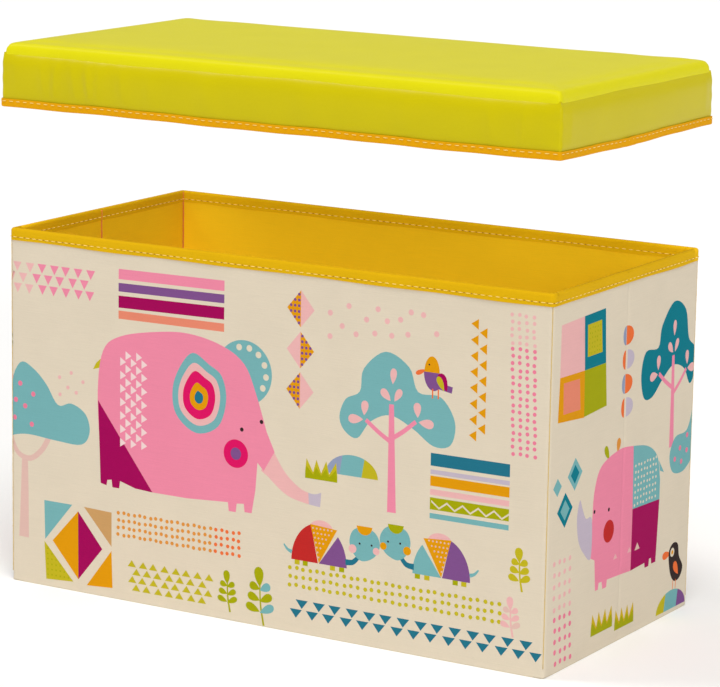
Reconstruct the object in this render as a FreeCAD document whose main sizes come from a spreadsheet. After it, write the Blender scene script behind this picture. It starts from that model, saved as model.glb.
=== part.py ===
"""A folding fabric toy box with a loose padded lid, in millimetres.

The box is cloth over hardboard. Its two long walls stay whole and each short wall is split by a middle
crease, so the short walls fold inwards and the front wall comes back against the back wall. A hinged base
board lies on the bottom cloth, and stands up against the back wall before the walls are folded. The lid is a
hardboard and foam pad with a stiffened skirt that drops over the rim; it is modelled lifted off the box.

Frame: +X along the length, +Y towards the back wall, +Z up, origin under the middle of the box on the floor.
"""

import FreeCAD, Part
import os
import re

import Sketcher

DIMENSIONS = {
    "box_length": (600, "outside length of the box, over the rim tape"),
    "box_depth": (300, "outside depth of the box, over the rim tape"),
    "box_height": (355, "floor to the top of the rim tape"),
    "board": (3, "wall hardboard thickness"),
    "cover": (0.8, "printed outer cloth thickness"),
    "lining": (0.6, "lining cloth thickness"),
    "tape": (0.7, "rim tape and hem tape thickness"),
    "rim_width": (12, "height of the folded rim tape"),
    "corner_radius": (4, "radius of the cloth round a box corner"),
    "wrap_depth": (8.5, "end face of the box to the edge of a long wall's cloth"),
    "fold_inset": (11.3, "end face of the box to a corner fold line"),
    "fold_clear": (1, "corner fold line to a half wall"),
    "crease_half": (3, "half width of the middle crease of a short wall"),
    "seam": (1.5, "stitched margin beside a half wall's board"),
    "bottom": (0.8, "bottom cloth thickness"),
    "bottom_lining": (0.5, "thickness of the lining over the bottom cloth"),
    "hem_top": (7, "floor to the top of the bottom cloth's hem"),
    "cloth_low": (7.3, "floor to the lower edge of the wall cloths"),
    "board_low": (7.5, "floor to the lower edge of the wall boards"),
    "base_board": (3.5, "hardboard of the folding base"),
    "base_cloth": (0.5, "cloth on the folding base, pull tab and hinge strip"),
    "base_low": (1.5, "floor to the underside of the folding base"),
    "base_side_clear": (2, "folding base to a side lining"),
    "base_end_clear": (2.5, "folding base to the front lining"),
    "base_back_clear": (1, "folding base to the back lining"),
    "tab_width": (25, "width of the pull tab"),
    "tab_length": (60, "length of the pull tab"),
    "strip_length": (560, "length of the base's cloth hinge strip"),
    "strip_height": (20, "height of the base's cloth hinge strip"),
    "lid_length": (611, "outside length of the lid, over the hem tape"),
    "lid_depth": (311, "outside depth of the lid, over the hem tape"),
    "lid_height": (58, "hem to the top of the lid"),
    "lid_board": (4, "lid hardboard thickness"),
    "lid_cloth": (1, "lid cloth thickness"),
    "lid_card": (1.5, "card stiffener inside the lid's skirt"),
    "skirt": (26, "hem to the lid's flat lining"),
    "lid_seam": (48, "hem to the seam between side bands and top cloth"),
    "lid_roll": (9, "radius of the lid's top edge"),
    "hem_width": (8, "height of the lid's folded hem tape"),
    "gap": (0.1, "space between soft pieces that would otherwise touch"),
    "lid_rest": (0.3, "rim tape to the lid's lining when the lid is on"),
    "lid_lift": (145, "how far the lid is lifted off"),
}

doc = FreeCAD.newDocument("toy_box")
sheet = doc.addObject("Spreadsheet::Sheet", "Dims")
for row, (alias, (size, note)) in enumerate(DIMENSIONS.items(), start=1):
    sheet.set(f"A{row}", note)
    sheet.set(f"B{row}", str(size))
    sheet.setAlias(f"B{row}", alias)
doc.recompute()

# Distances in from the outline of the box to each layer of a wall.
BOARD_IN = "(tape + cover)"
LINING_IN = "(tape + cover + board)"
INSIDE = "(tape + cover + board + lining)"

# A half side wall, between its middle crease and its corner fold.
HALF_WALL = "(box_depth / 2 - fold_inset - fold_clear - crease_half)"
CLOTH_TALL = "(box_height - tape - cloth_low)"

HALF_FAR = f"-(crease_half + {HALF_WALL})"

# A corner fold, as distances from the middle of a short wall: both ends, and the long wall's cloth.
FOLD_NEAR = "(box_depth / 2 - fold_inset - fold_clear + gap)"
FOLD_FAR = f"(box_depth / 2 - {INSIDE} - gap)"
FOLD_NOTCH = "(box_depth / 2 - wrap_depth - gap)"
FOLD_TALL = "(box_height - tape - gap - cloth_low)"

# The folding base lies between the linings.
BASE_LENGTH = f"(box_length - 2 * {INSIDE} - 2 * base_side_clear)"
BASE_DEPTH = f"(box_depth - 2 * {INSIDE} - base_end_clear - base_back_clear)"
BASE_FRONT = f"({INSIDE} + base_end_clear - box_depth / 2)"

# The lid's lowest edge, and the distances in from its outline to each layer of its skirt.
HEM_Z = "(box_height + lid_rest - skirt + lid_lift)"
CARD_IN = "(tape + lid_cloth)"
SKIRT_LINING_IN = "(tape + lid_cloth + lid_card)"
SKIRT_INSIDE = "(tape + lid_cloth + lid_card + lining)"
PAD_IN = "(tape + lid_cloth + gap)"

# Which way a wall's own +X runs, in degrees about +Z; its own +Y always points into the box.
FRONT, RIGHT, BACK, LEFT = 0, 90, 180, -90

pieces = []


def bind(thing, field, formula):
    """Ties one size of an object to a formula written in the sheet's names."""
    thing.setExpression(field, re.sub(r"[a-z_]+", lambda name: f"Dims.{name.group()}", formula))


def finish(piece, at, turn=0):
    """Places a piece, turned about +Z, and adds it to the pieces that are written out."""
    upright = FreeCAD.Rotation(FreeCAD.Vector(0, 0, 1), turn)
    piece.Placement = FreeCAD.Placement(FreeCAD.Vector(0, 0, 0), upright)
    for axis, formula in zip("xyz", at):
        bind(piece, f"Placement.Base.{axis}", formula)
    pieces.append(piece)


def on_wall(side, along, inset, z, length="box_length", depth="box_depth"):
    """Where a wall piece starts: along its wall from the middle, in from the outline, and up."""
    if side in (FRONT, BACK):
        sign = 1 if side == FRONT else -1
        return f"{sign} * ({along})", f"{sign} * ({inset} - {depth} / 2)", z
    sign = 1 if side == RIGHT else -1
    return f"{sign} * ({length} / 2 - {inset})", f"{sign} * ({along})", z


def sketch_on(body, name):
    """A sketch on the body's own XY plane."""
    sketch = body.newObject("Sketcher::SketchObject", name)
    planes = [item for item in body.Origin.OriginFeatures if item.Role == "XY_Plane"]
    sketch.AttachmentSupport = (planes[0], [""])
    sketch.MapMode = "FlatFace"
    return sketch


def dimension(sketch, kind, ends, formula):
    """Fixes how far one point of the sketch lies from another along X or Y."""
    if formula == "0":
        axis = -2 if kind == "X" else -1
        sketch.addConstraint(Sketcher.Constraint("PointOnObject", ends[2], ends[3], axis))
        return
    number = sketch.addConstraint(Sketcher.Constraint(f"Distance{kind}", *ends, 5))
    sketch.renameConstraint(number, f"size{number}")
    bind(sketch, f"Constraints.size{number}", formula)


def rectangle(sketch, size, start=("0", "0")):
    """A rectangle of the given X and Y size whose lowest corner is at start."""
    low = sketch.GeometryCount
    right, high, left = low + 1, low + 2, low + 3
    corners = [FreeCAD.Vector(x, y, 0) for x, y in ((5, 5), (10, 5), (10, 10), (5, 10))]
    for i in range(4):
        sketch.addGeometry(Part.LineSegment(corners[i], corners[(i + 1) % 4]), False)
    for line, following in ((low, right), (right, high), (high, left), (left, low)):
        sketch.addConstraint(Sketcher.Constraint("Coincident", line, 2, following, 1))
    for line in (low, high):
        sketch.addConstraint(Sketcher.Constraint("Horizontal", line))
    for line in (right, left):
        sketch.addConstraint(Sketcher.Constraint("Vertical", line))
    dimension(sketch, "X", (low, 1, low, 2), size[0])
    dimension(sketch, "Y", (right, 1, right, 2), size[1])
    dimension(sketch, "X", (-1, 1, low, 1), start[0])
    dimension(sketch, "Y", (-1, 1, low, 1), start[1])


def raised(label, height, *outlines):
    """A new body raised from rectangles, each given as its size and start."""
    body = doc.addObject("PartDesign::Body", label)
    sketch = sketch_on(body, "Outline")
    for outline in outlines:
        rectangle(sketch, *outline)
    feature = body.newObject("PartDesign::Pad", "Pad")
    feature.Profile = sketch
    bind(feature, "Length", height)
    doc.recompute()
    return body


def hollow(body, height, *outlines, base="0"):
    """Cuts rectangles upwards from base, and stops if nothing was cut."""
    volume = body.Shape.Volume
    sketch = sketch_on(body, "Hollow")
    bind(sketch, "AttachmentOffset.Base.z", base)
    for outline in outlines:
        rectangle(sketch, *outline)
    feature = body.newObject("PartDesign::Pocket", "Pocket")
    feature.Profile = sketch
    feature.Reversed = True
    bind(feature, "Length", height)
    doc.recompute()
    if body.Shape.Volume > volume - 1:
        raise ValueError(f"a hollow in {body.Label} cut nothing")


def near(number, *targets):
    return any(abs(number - target) < 1e-6 for target in targets)


def fillet(body, radius, chosen):
    """Rounds every edge of the body for which chosen(one end, other end) is true."""
    solid = body.Tip
    names = []
    for number, edge in enumerate(solid.Shape.Edges, start=1):
        if chosen(edge.Vertexes[0].Point, edge.Vertexes[-1].Point):
            names.append(f"Edge{number}")
    feature = body.newObject("PartDesign::Fillet", "Fillet")
    feature.Base = (solid, names)
    bind(feature, "Radius", radius)
    doc.recompute()


def fillet_corners(body, radius, inset, rows=None):
    """Rounds the upright edges inset from a body's left and right, on its front row or other rows."""
    length = body.Tip.Shape.BoundBox.XMax
    rows = rows or (inset,)

    def chosen(one, other):
        upright = near(one.x, other.x) and near(one.y, other.y)
        return upright and near(one.x, inset, length - inset) and near(one.y, *rows)

    fillet(body, radius, chosen)


def fillet_rim(body, radius, height):
    """Rounds the level edges at a height in the body."""
    fillet(body, radius, lambda one, other: near(one.z, height) and near(other.z, height))


def slab(label, size, at, turn=0):
    """A flat rectangular piece of the given X, Y and Z size."""
    finish(raised(label, size[2], (size[:2],)), at, turn)


def wrapped_cloth(label, side, height, low):
    """A long wall's outer cloth, whose two ends turn round the corners of the box."""
    length = "(box_length - 2 * tape)"
    reach = "(wrap_depth - tape)"
    body = raised(label, height, ((length, reach),))
    inner = (f"({length} - 2 * cover)", f"({reach} - cover)")
    hollow(body, height, (inner, ("cover", "cover")))
    fillet_corners(body, "corner_radius", 0)
    fillet_corners(body, "(corner_radius - cover)", sheet.cover)
    finish(body, on_wall(side, f"-{length} / 2", "tape", low), side)


def wrapped_tape(label, side):
    """A long wall's rim tape, folded over the top edge and turned round the corners of the box."""
    body = raised(label, "rim_width", (("box_length", "wrap_depth"),))
    thick = f"({INSIDE} + tape)"
    behind = f"(wrap_depth - {thick})"
    hollow(body, "rim_width", ((f"(box_length - 2 * {thick})", behind), (thick, thick)))
    groove = f"({INSIDE} - tape)"
    deep = "(rim_width - tape)"
    hollow(body, deep, (("(box_length - 2 * tape)", groove), ("tape", "tape")))
    returned = (groove, f"(wrap_depth - {INSIDE})")
    hollow(body, deep, (returned, ("tape", INSIDE)), (returned, (f"(box_length - {INSIDE})", INSIDE)))
    fillet_corners(body, "(corner_radius - gap)", sheet.tape)
    fillet_corners(body, "(corner_radius + tape)", 0)
    finish(body, on_wall(side, "-box_length / 2", "0", "(box_height - rim_width)"), side)


def long_wall(name, side):
    """The front or back wall: cloth, board, lining and rim tape."""
    wrapped_cloth(f"{name}_cover", side, CLOTH_TALL, "cloth_low")
    flat = "(box_length - 2 * tape - 2 * corner_radius)"
    board_tall = "(box_height - tape - cover - board_low)"
    start = f"-{flat} / 2"
    slab(f"{name}_board", (flat, "board", board_tall), on_wall(side, start, BOARD_IN, "board_low"), side)
    slab(f"{name}_lining", (flat, "lining", CLOTH_TALL), on_wall(side, start, LINING_IN, "cloth_low"), side)
    wrapped_tape(f"{name}_rim_tape", side)


def half_wall(name, side, start):
    """Half of a short wall, from start to start + HALF_WALL along its side."""
    at = (side, start)
    slab(f"{name}_cover", (HALF_WALL, "cover", CLOTH_TALL), on_wall(*at, "tape", "cloth_low"), side)
    slab(f"{name}_lining", (HALF_WALL, "lining", CLOTH_TALL), on_wall(*at, LINING_IN, "cloth_low"), side)
    board = (f"({HALF_WALL} - 2 * seam)", "board", "(box_height - tape - cover - board_low)")
    slab(f"{name}_board", board, on_wall(side, f"{start} + seam", BOARD_IN, "board_low"), side)
    body = raised(f"{name}_rim_tape", "rim_width", ((HALF_WALL, f"({INSIDE} + tape)"),))
    groove = (HALF_WALL, f"({INSIDE} - tape)")
    hollow(body, "(rim_width - tape)", (groove, ("0", "tape")))
    finish(body, on_wall(*at, "0", "(box_height - rim_width)"), side)


def corner_fold(name, side, start, notch):
    """The stitched cloth between a half wall and a long wall, cut back at notch for the wrapped cloth."""
    body = raised(name, FOLD_TALL, ((f"({FOLD_FAR} - {FOLD_NEAR})", f"({INSIDE} - tape)"),))
    hollow(body, FOLD_TALL, ((f"({FOLD_FAR} - {FOLD_NOTCH})", "(cover + gap)"), (notch, "0")))
    finish(body, on_wall(side, start, "tape", "cloth_low"), side)


def middle_fold(name, side):
    """The cloth of a short wall's middle crease."""
    width = "(2 * crease_half - 2 * gap)"
    size = (width, f"({INSIDE} - tape)", "(box_height - cloth_low)")
    slab(name, size, on_wall(side, f"-{width} / 2", "tape", "cloth_low"), side)


def write_pieces():
    """Checks the whole document and writes one STEP file per piece."""
    doc.recompute()
    for item in doc.Objects:
        if "Invalid" in item.State or "Error" in item.State:
            raise ValueError(f"{item.Label} did not build: {item.State}")
    os.makedirs("parts", exist_ok=True)
    for piece in pieces:
        if piece.Shape.isNull() or not piece.Shape.isValid() or len(piece.Shape.Solids) != 1:
            raise ValueError(f"{piece.Label} is not one valid solid")
        piece.Shape.exportStep(f"parts/{piece.Label}.step")


def box_bottom():
    """The bottom cloth, the lining over it, and the hem that joins it to the walls."""
    body = raised("bottom_cloth", "bottom", (("(box_length - 2 * tape)", "(box_depth - 2 * tape)"),))
    fillet_corners(body, "corner_radius", 0, (0, body.Tip.Shape.BoundBox.YMax))
    finish(body, ("tape - box_length / 2", "tape - box_depth / 2", "0"))
    inset = "(tape + cover + gap)"
    plan = (f"(box_length - 2 * {inset})", f"(box_depth - 2 * {inset})")
    body = raised("bottom_lining", "bottom_lining", (plan,))
    fillet_corners(body, "corner_radius", 0, (0, body.Tip.Shape.BoundBox.YMax))
    finish(body, (f"{inset} - box_length / 2", f"{inset} - box_depth / 2", "bottom"))
    tall = "(hem_top - bottom)"
    wrapped_cloth("front_hem", FRONT, tall, "bottom")
    wrapped_cloth("back_hem", BACK, tall, "bottom")
    wide = "(box_depth - 2 * wrap_depth)"
    for name, side in (("left_hem", LEFT), ("right_hem", RIGHT)):
        slab(name, (wide, "cover", tall), on_wall(side, f"-{wide} / 2", "tape", "bottom"), side)


def folding_base():
    """The base board in its cloth, its pull tab, and the strip that hinges it to the back lining."""
    left = f"-{BASE_LENGTH} / 2"
    under = "(base_low + base_cloth)"
    over = "(base_low + base_cloth + base_board)"
    cloth = (BASE_LENGTH, BASE_DEPTH, "base_cloth")
    slab("base_cover_under", cloth, (left, BASE_FRONT, "base_low"))
    slab("base_cover_top", cloth, (left, BASE_FRONT, over))
    board = (f"({BASE_LENGTH} - 2 * seam)", f"({BASE_DEPTH} - 2 * seam)", "base_board")
    slab("base_board", board, (f"{left} + seam", f"{BASE_FRONT} + seam", under))
    tab = ("tab_width", "tab_length", "base_cloth")
    slab("base_pull_tab", tab, ("-tab_width / 2", f"{BASE_FRONT} + seam", f"{over} + base_cloth"))
    strip = ("strip_length", "base_cloth", "strip_height")
    slab("base_hinge_strip", strip, on_wall(BACK, "-strip_length / 2", INSIDE, "board_low"), BACK)


def lid_layer(names, inset, thick, height):
    """Four strips of one layer of the lid's skirt: the long pair covers the ends of the short pair."""
    for name, side in names:
        outline = "lid_length" if side in (FRONT, BACK) else "lid_depth"
        ends = inset if side in (FRONT, BACK) else f"({inset} + {thick})"
        long = f"({outline} - 2 * {ends})"
        start = on_wall(side, f"-{long} / 2", inset, f"{HEM_Z} + tape", "lid_length", "lid_depth")
        slab(name, (long, thick, height), start, side)


def lid_skirt():
    """The side bands, their card stiffeners and the skirt's lining."""
    sides = (("front", FRONT), ("back", BACK), ("left", LEFT), ("right", RIGHT))
    layers = (
        ("band", "tape", "lid_cloth", "(lid_seam - tape)"),
        ("stiffener", CARD_IN, "lid_card", "(skirt - tape)"),
        ("skirt_lining", SKIRT_LINING_IN, "lining", "(skirt - tape)"),
    )
    for layer, inset, thick, height in layers:
        names = [(f"lid_{name}_{layer}", side) for name, side in sides]
        lid_layer(names, inset, thick, height)


def lid_pad():
    """The flat lining, board and foam inside the lid."""
    plan = (f"(lid_length - 2 * {PAD_IN})", f"(lid_depth - 2 * {PAD_IN})")
    left, front = f"{PAD_IN} - lid_length / 2", f"{PAD_IN} - lid_depth / 2"
    slab("lid_lining", (*plan, "lining"), (left, front, f"{HEM_Z} + skirt"))
    slab("lid_board", (*plan, "lid_board"), (left, front, f"{HEM_Z} + skirt + lining"))
    tall = "(lid_height - skirt - lining - lid_board - lid_cloth - gap)"
    foam = raised("lid_foam", tall, (plan,))
    fillet_rim(foam, "(lid_roll - lid_cloth)", foam.Tip.Shape.BoundBox.ZMax)
    finish(foam, (left, front, f"{HEM_Z} + skirt + lining + lid_board"))


def lid_top():
    """The top cloth, a shallow cap with a rounded edge."""
    plan = ("(lid_length - 2 * tape)", "(lid_depth - 2 * tape)")
    cap = raised("lid_top_cover", "(lid_height - lid_seam)", (plan,))
    inner = tuple(f"({side} - 2 * lid_cloth)" for side in plan)
    hollow(cap, "(lid_height - lid_seam - lid_cloth)", (inner, ("lid_cloth", "lid_cloth")))
    top = cap.Tip.Shape.BoundBox.ZMax
    fillet_rim(cap, "(lid_roll - lid_cloth)", top - sheet.lid_cloth)
    fillet_rim(cap, "lid_roll", top)
    finish(cap, ("tape - lid_length / 2", "tape - lid_depth / 2", f"{HEM_Z} + lid_seam"))


def lid_hem_tape():
    """The tape folded round the lower edge of the lid's skirt."""
    hem = raised("lid_hem_tape", "hem_width", (("lid_length", "lid_depth"),))
    thick = f"({SKIRT_INSIDE} + tape)"
    hollow(hem, "hem_width", (inset_plan(thick), (thick, thick)))
    outer = (inset_plan("tape"), ("tape", "tape"))
    inner = (inset_plan(SKIRT_INSIDE), (SKIRT_INSIDE, SKIRT_INSIDE))
    hollow(hem, "hem_width", outer, inner, base="tape")
    finish(hem, ("-lid_length / 2", "-lid_depth / 2", HEM_Z))


def inset_plan(inset):
    """The lid's outline moved in by inset all round."""
    return f"(lid_length - 2 * {inset})", f"(lid_depth - 2 * {inset})"


def write_pieces():
    """Checks the whole document and writes one STEP file per piece."""
    doc.recompute()
    for item in doc.Objects:
        if "Invalid" in item.State or "Error" in item.State:
            raise ValueError(f"{item.Label} did not build: {item.State}")
    os.makedirs("parts", exist_ok=True)
    for piece in pieces:
        if piece.Shape.isNull() or not piece.Shape.isValid() or len(piece.Shape.Solids) != 1:
            raise ValueError(f"{piece.Label} is not one valid solid")
        piece.Shape.exportStep(f"parts/{piece.Label}.step")


long_wall("front", FRONT)
long_wall("back", BACK)
half_wall("right_front", RIGHT, HALF_FAR)
half_wall("right_rear", RIGHT, "crease_half")
half_wall("left_front", LEFT, "crease_half")
half_wall("left_rear", LEFT, HALF_FAR)
corner_fold("front_right_fold", RIGHT, f"-{FOLD_FAR}", "0")
corner_fold("back_right_fold", RIGHT, FOLD_NEAR, f"({FOLD_NOTCH} - {FOLD_NEAR})")
corner_fold("front_left_fold", LEFT, FOLD_NEAR, f"({FOLD_NOTCH} - {FOLD_NEAR})")
corner_fold("back_left_fold", LEFT, f"-{FOLD_FAR}", "0")
middle_fold("right_middle_fold", RIGHT)
middle_fold("left_middle_fold", LEFT)
box_bottom()
folding_base()
lid_skirt()
lid_pad()
lid_top()
lid_hem_tape()
write_pieces()
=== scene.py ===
import math
from functools import partial

import bmesh
import bpy
import numpy as np
from mathutils import Euler, Matrix, Vector, geometry, noise


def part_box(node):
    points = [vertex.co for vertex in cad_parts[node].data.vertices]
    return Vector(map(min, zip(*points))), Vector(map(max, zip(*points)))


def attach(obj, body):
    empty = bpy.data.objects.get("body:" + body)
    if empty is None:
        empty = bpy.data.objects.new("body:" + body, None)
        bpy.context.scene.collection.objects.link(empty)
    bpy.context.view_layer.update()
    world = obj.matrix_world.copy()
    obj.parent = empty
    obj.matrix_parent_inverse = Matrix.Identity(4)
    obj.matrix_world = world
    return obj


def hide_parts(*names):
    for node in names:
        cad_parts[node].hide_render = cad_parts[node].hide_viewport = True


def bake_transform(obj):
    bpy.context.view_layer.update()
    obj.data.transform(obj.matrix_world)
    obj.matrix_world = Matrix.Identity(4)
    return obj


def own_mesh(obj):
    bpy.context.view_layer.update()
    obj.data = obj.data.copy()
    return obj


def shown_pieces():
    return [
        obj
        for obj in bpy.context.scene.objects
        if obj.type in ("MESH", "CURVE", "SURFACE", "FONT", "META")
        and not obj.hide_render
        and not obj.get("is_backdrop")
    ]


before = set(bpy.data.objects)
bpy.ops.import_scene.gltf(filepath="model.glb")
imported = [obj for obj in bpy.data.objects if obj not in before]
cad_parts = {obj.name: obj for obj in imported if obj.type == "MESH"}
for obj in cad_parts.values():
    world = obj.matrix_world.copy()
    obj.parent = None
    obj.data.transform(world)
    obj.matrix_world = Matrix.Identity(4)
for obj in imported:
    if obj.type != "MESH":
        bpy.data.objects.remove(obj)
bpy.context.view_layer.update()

# Plan sizes and heights in millimetres, read from the frame. A point on the wall is (u, z): u runs round
# the box from the middle of the front wall, to the right as seen from outside.
MM = 0.001
HALF_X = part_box("front_rim_tape")[1].x / MM
HALF_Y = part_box("back_rim_tape")[1].y / MM
TAPE_LOW, RIM_TOP = (c.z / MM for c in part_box("front_rim_tape"))
COVER_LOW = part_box("front_cover")[0].z / MM
HEM_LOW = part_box("front_hem")[0].z / MM
COVER_INSET = HALF_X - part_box("front_cover")[1].x / MM
LINING_INSET = HALF_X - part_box("right_rear_lining")[0].x / MM
TAPE_INSET = HALF_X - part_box("right_rear_rim_tape")[0].x / MM
WRAP_Y = -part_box("front_cover")[1].y / MM
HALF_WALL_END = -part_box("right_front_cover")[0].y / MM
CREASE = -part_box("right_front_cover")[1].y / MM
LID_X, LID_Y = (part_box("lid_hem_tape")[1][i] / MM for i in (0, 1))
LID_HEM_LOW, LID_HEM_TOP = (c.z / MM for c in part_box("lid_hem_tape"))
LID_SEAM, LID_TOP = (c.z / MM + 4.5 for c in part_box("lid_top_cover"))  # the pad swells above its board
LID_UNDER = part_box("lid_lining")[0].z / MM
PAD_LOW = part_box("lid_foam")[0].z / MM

CORNER, LID_CORNER = 4.7, 3.2  # radii in plan
PAD_INSET = 0.7
SIDE, LID_SIDE = HALF_X + HALF_Y, LID_X + LID_Y  # along u, from the middle of one wall to the next one's
MIDDLE_CREASES = (SIDE, 3 * SIDE)
LAP = 12.0  # the back wall's cloth ends this far before its corners
RAISED_BASE = 290  # how high the folding base reaches when it stands against the back wall
MESH_STEP = 8.0  # between the printed cloth's own points
SHARP = math.radians(50)
SIXTHS = [math.pi * s / 3 for s in range(6)]
SIDES = ("front", "right", "back", "left")


# ---------------------------------------------------------------- plan and mesh helpers

def ring(u, inset, half_x=HALF_X, half_y=HALF_Y, corner=CORNER):
    """Plan point at u round a rectangle with rounded corners, on the surface inset from its outside."""
    length = 4 * (half_x + half_y)
    u = (u + half_x) % length
    turn, reach, depth, run = 0, half_x, half_y, 2 * half_x
    while u > run:
        u -= run
        turn += 1
        reach, depth, run = depth, reach, 2 * depth
    u -= reach
    radius = max(corner - inset, 0.3)
    centre = inset + radius
    flat = reach - corner
    if abs(u) <= flat:
        x, y = u * (reach - centre) / flat, -(depth - inset)
    else:
        angle = (abs(u) - flat) / corner * math.pi / 4
        x = math.copysign(reach - centre + radius * math.sin(angle), u)
        y = -(depth - centre) - radius * math.cos(angle)
    for _ in range(turn):
        x, y = -y, x
    return x, y


def path_length(u0, u1, inset):
    """Length in millimetres of the way round the box from u0 to u1, on the surface inset from its outside."""
    way = [Vector(ring(u, inset)) for u in columns(u0, u1, 3.0)]
    return sum((b - a).length for a, b in zip(way, way[1:]))


def on_box(u, inset, z):
    """Point in metres on the box's wall."""
    return Vector((*ring(u, inset), z)) * MM


def on_lid(u, inset, z):
    """Point in metres on the lid's skirt."""
    return Vector((*ring(u, inset, LID_X, LID_Y, LID_CORNER), z)) * MM


def columns(start, end, step, half_x=HALF_X, half_y=HALF_Y, corner=CORNER):
    """Places along u from start to end, closer together round each corner."""
    places = list(np.linspace(start, end, max(2, math.ceil((end - start) / step) + 1)))
    length = 4 * (half_x + half_y)
    for turn in range(-1, 3):
        for at in (half_x, half_x + 2 * half_y):
            middle = at + turn * length / 2
            places += [p for p in middle + np.linspace(-corner, corner, 7) if start < p < end]
    places = sorted(places)
    return [p for i, p in enumerate(places) if i == 0 or p - places[i - 1] > 0.4 or p == end]


def new_object(name, points, faces, *materials):
    """Mesh object from points in metres."""
    mesh = bpy.data.meshes.new(name)
    mesh.from_pydata([tuple(p) for p in points], [], faces)
    mesh.validate()
    mesh.polygons.foreach_set("use_smooth", [True] * len(mesh.polygons))
    obj = bpy.data.objects.new(name, mesh)
    bpy.context.scene.collection.objects.link(obj)
    for material in materials:
        mesh.materials.append(material)
    return obj


def weave_uv(obj):
    """UV map of the cloth's own millimetres, laid on each face along the two axes that it faces least."""
    mesh = obj.data
    layer = mesh.uv_layers.new(name="weave")
    points = np.array([v.co for v in mesh.vertices]).reshape(-1, 3) / MM
    uv = np.zeros((len(mesh.loops), 2))
    for face in mesh.polygons:
        axis = int(np.argmax(np.abs(np.array(face.normal))))
        across, along = ((1, 2), (0, 2), (0, 1))[axis]
        for loop in face.loop_indices:
            uv[loop] = points[mesh.loops[loop].vertex_index][[across, along]]
    layer.data.foreach_set("uv", uv.ravel())
    return obj


def grid_faces(count_u, count_v, flip=False, close_v=False):
    """Quads of a grid whose points are listed row by row, count_u to a row."""
    rows = count_v if close_v else count_v - 1
    faces = []
    for j in range(rows):
        for i in range(count_u - 1):
            a, b = j * count_u + i, ((j + 1) % count_v) * count_u + i
            faces.append((a, b, b + 1, a + 1) if flip else (a, a + 1, b + 1, b))
    return faces


def modified(obj, kind, **settings):
    """Replaces an object's mesh by what one modifier makes of it."""
    modifier = obj.modifiers.new(kind, kind)
    for setting, value in settings.items():
        setattr(modifier, setting, value)
    mesh = bpy.data.meshes.new_from_object(obj.evaluated_get(bpy.context.evaluated_depsgraph_get()))
    obj.modifiers.clear()
    obj.data = mesh
    return obj


def solidify(obj, thickness, offset=-1.0):
    """Gives a sheet its thickness, in millimetres, with crisp cut edges."""
    modified(obj, "SOLIDIFY", thickness=thickness * MM, offset=offset)
    obj.data.set_sharp_from_angle(angle=SHARP)
    return obj


def sheet(name, points, faces, material, thickness, offset=-1.0):
    """A piece of cloth of one material."""
    return solidify(weave_uv(new_object(name, points, faces, material)), thickness, offset)


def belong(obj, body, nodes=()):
    """Puts a piece on its named body. Given instead a pair of bodies and a span along y, it bakes the piece's
    place into its mesh and does not use them. Hides the CAD nodes that the piece stands for.
    """
    if isinstance(body, str):
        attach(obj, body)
    else:
        first, second, start, end = body
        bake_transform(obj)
    if nodes:
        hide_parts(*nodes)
    return obj


# ---------------------------------------------------------------- materials

def linear(*rgb):
    """Scene colour of a display colour given as 0 to 255."""
    return tuple((c / 255 / 12.92 if c < 11 else ((c / 255 + 0.055) / 1.055) ** 2.4) for c in rgb)


class Nodes:
    """A material's node tree with short calls for the nodes used here."""

    def __init__(self, name, roughness, sheen=0.0, specular=0.5):
        self.material = bpy.data.materials.new(name)
        self.material.use_nodes = True
        self.tree = self.material.node_tree
        self.shader = self.tree.nodes["Principled BSDF"]
        self.shader.inputs["Roughness"].default_value = roughness
        self.shader.inputs["Sheen Weight"].default_value = sheen
        self.shader.inputs["Specular IOR Level"].default_value = specular

    def add(self, kind, links=None, **settings):
        node = self.tree.nodes.new(kind)
        for name, value in settings.items():
            setattr(node, name, value)
        for socket, source in (links or {}).items():
            target = node.inputs[socket]
            if isinstance(source, bpy.types.NodeSocket):
                self.tree.links.new(source, target)
            else:
                target.default_value = source
        return node

    def math(self, operation, first, second=0.0):
        return self.add("ShaderNodeMath", {0: first, 1: second}, operation=operation).outputs[0]

    def scaled(self, vector, scale):
        return self.add("ShaderNodeMapping", {"Vector": vector, "Scale": scale}).outputs[0]

    def noise(self, vector, scale, detail=3.0):
        links = {"Vector": vector, "Scale": scale, "Detail": detail}
        return self.add("ShaderNodeTexNoise", links).outputs[0]

    def wave(self, vector, direction, scale):
        links = {"Vector": vector, "Scale": scale}
        return self.add("ShaderNodeTexWave", links, bands_direction=direction).outputs[0]

    def span(self, value, low, high):
        """Value from 0 to 1 taken to a range from low to high."""
        return self.add("ShaderNodeMapRange", {"Value": value, "To Min": low, "To Max": high}).outputs[0]

    def tint(self, colour, brightness):
        """Colour made lighter or darker by a factor."""
        links = {0: colour, "Scale": brightness}
        return self.add("ShaderNodeVectorMath", links, operation="SCALE").outputs[0]

    def finish(self, colour, height, strength, distance, rough=None):
        bump = self.add("ShaderNodeBump", {"Strength": strength, "Distance": distance, "Height": height})
        self.tree.links.new(bump.outputs[0], self.shader.inputs["Normal"])
        self.tree.links.new(colour, self.shader.inputs["Base Color"])
        if rough is not None:
            self.tree.links.new(rough, self.shader.inputs["Roughness"])
        return self.material


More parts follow.
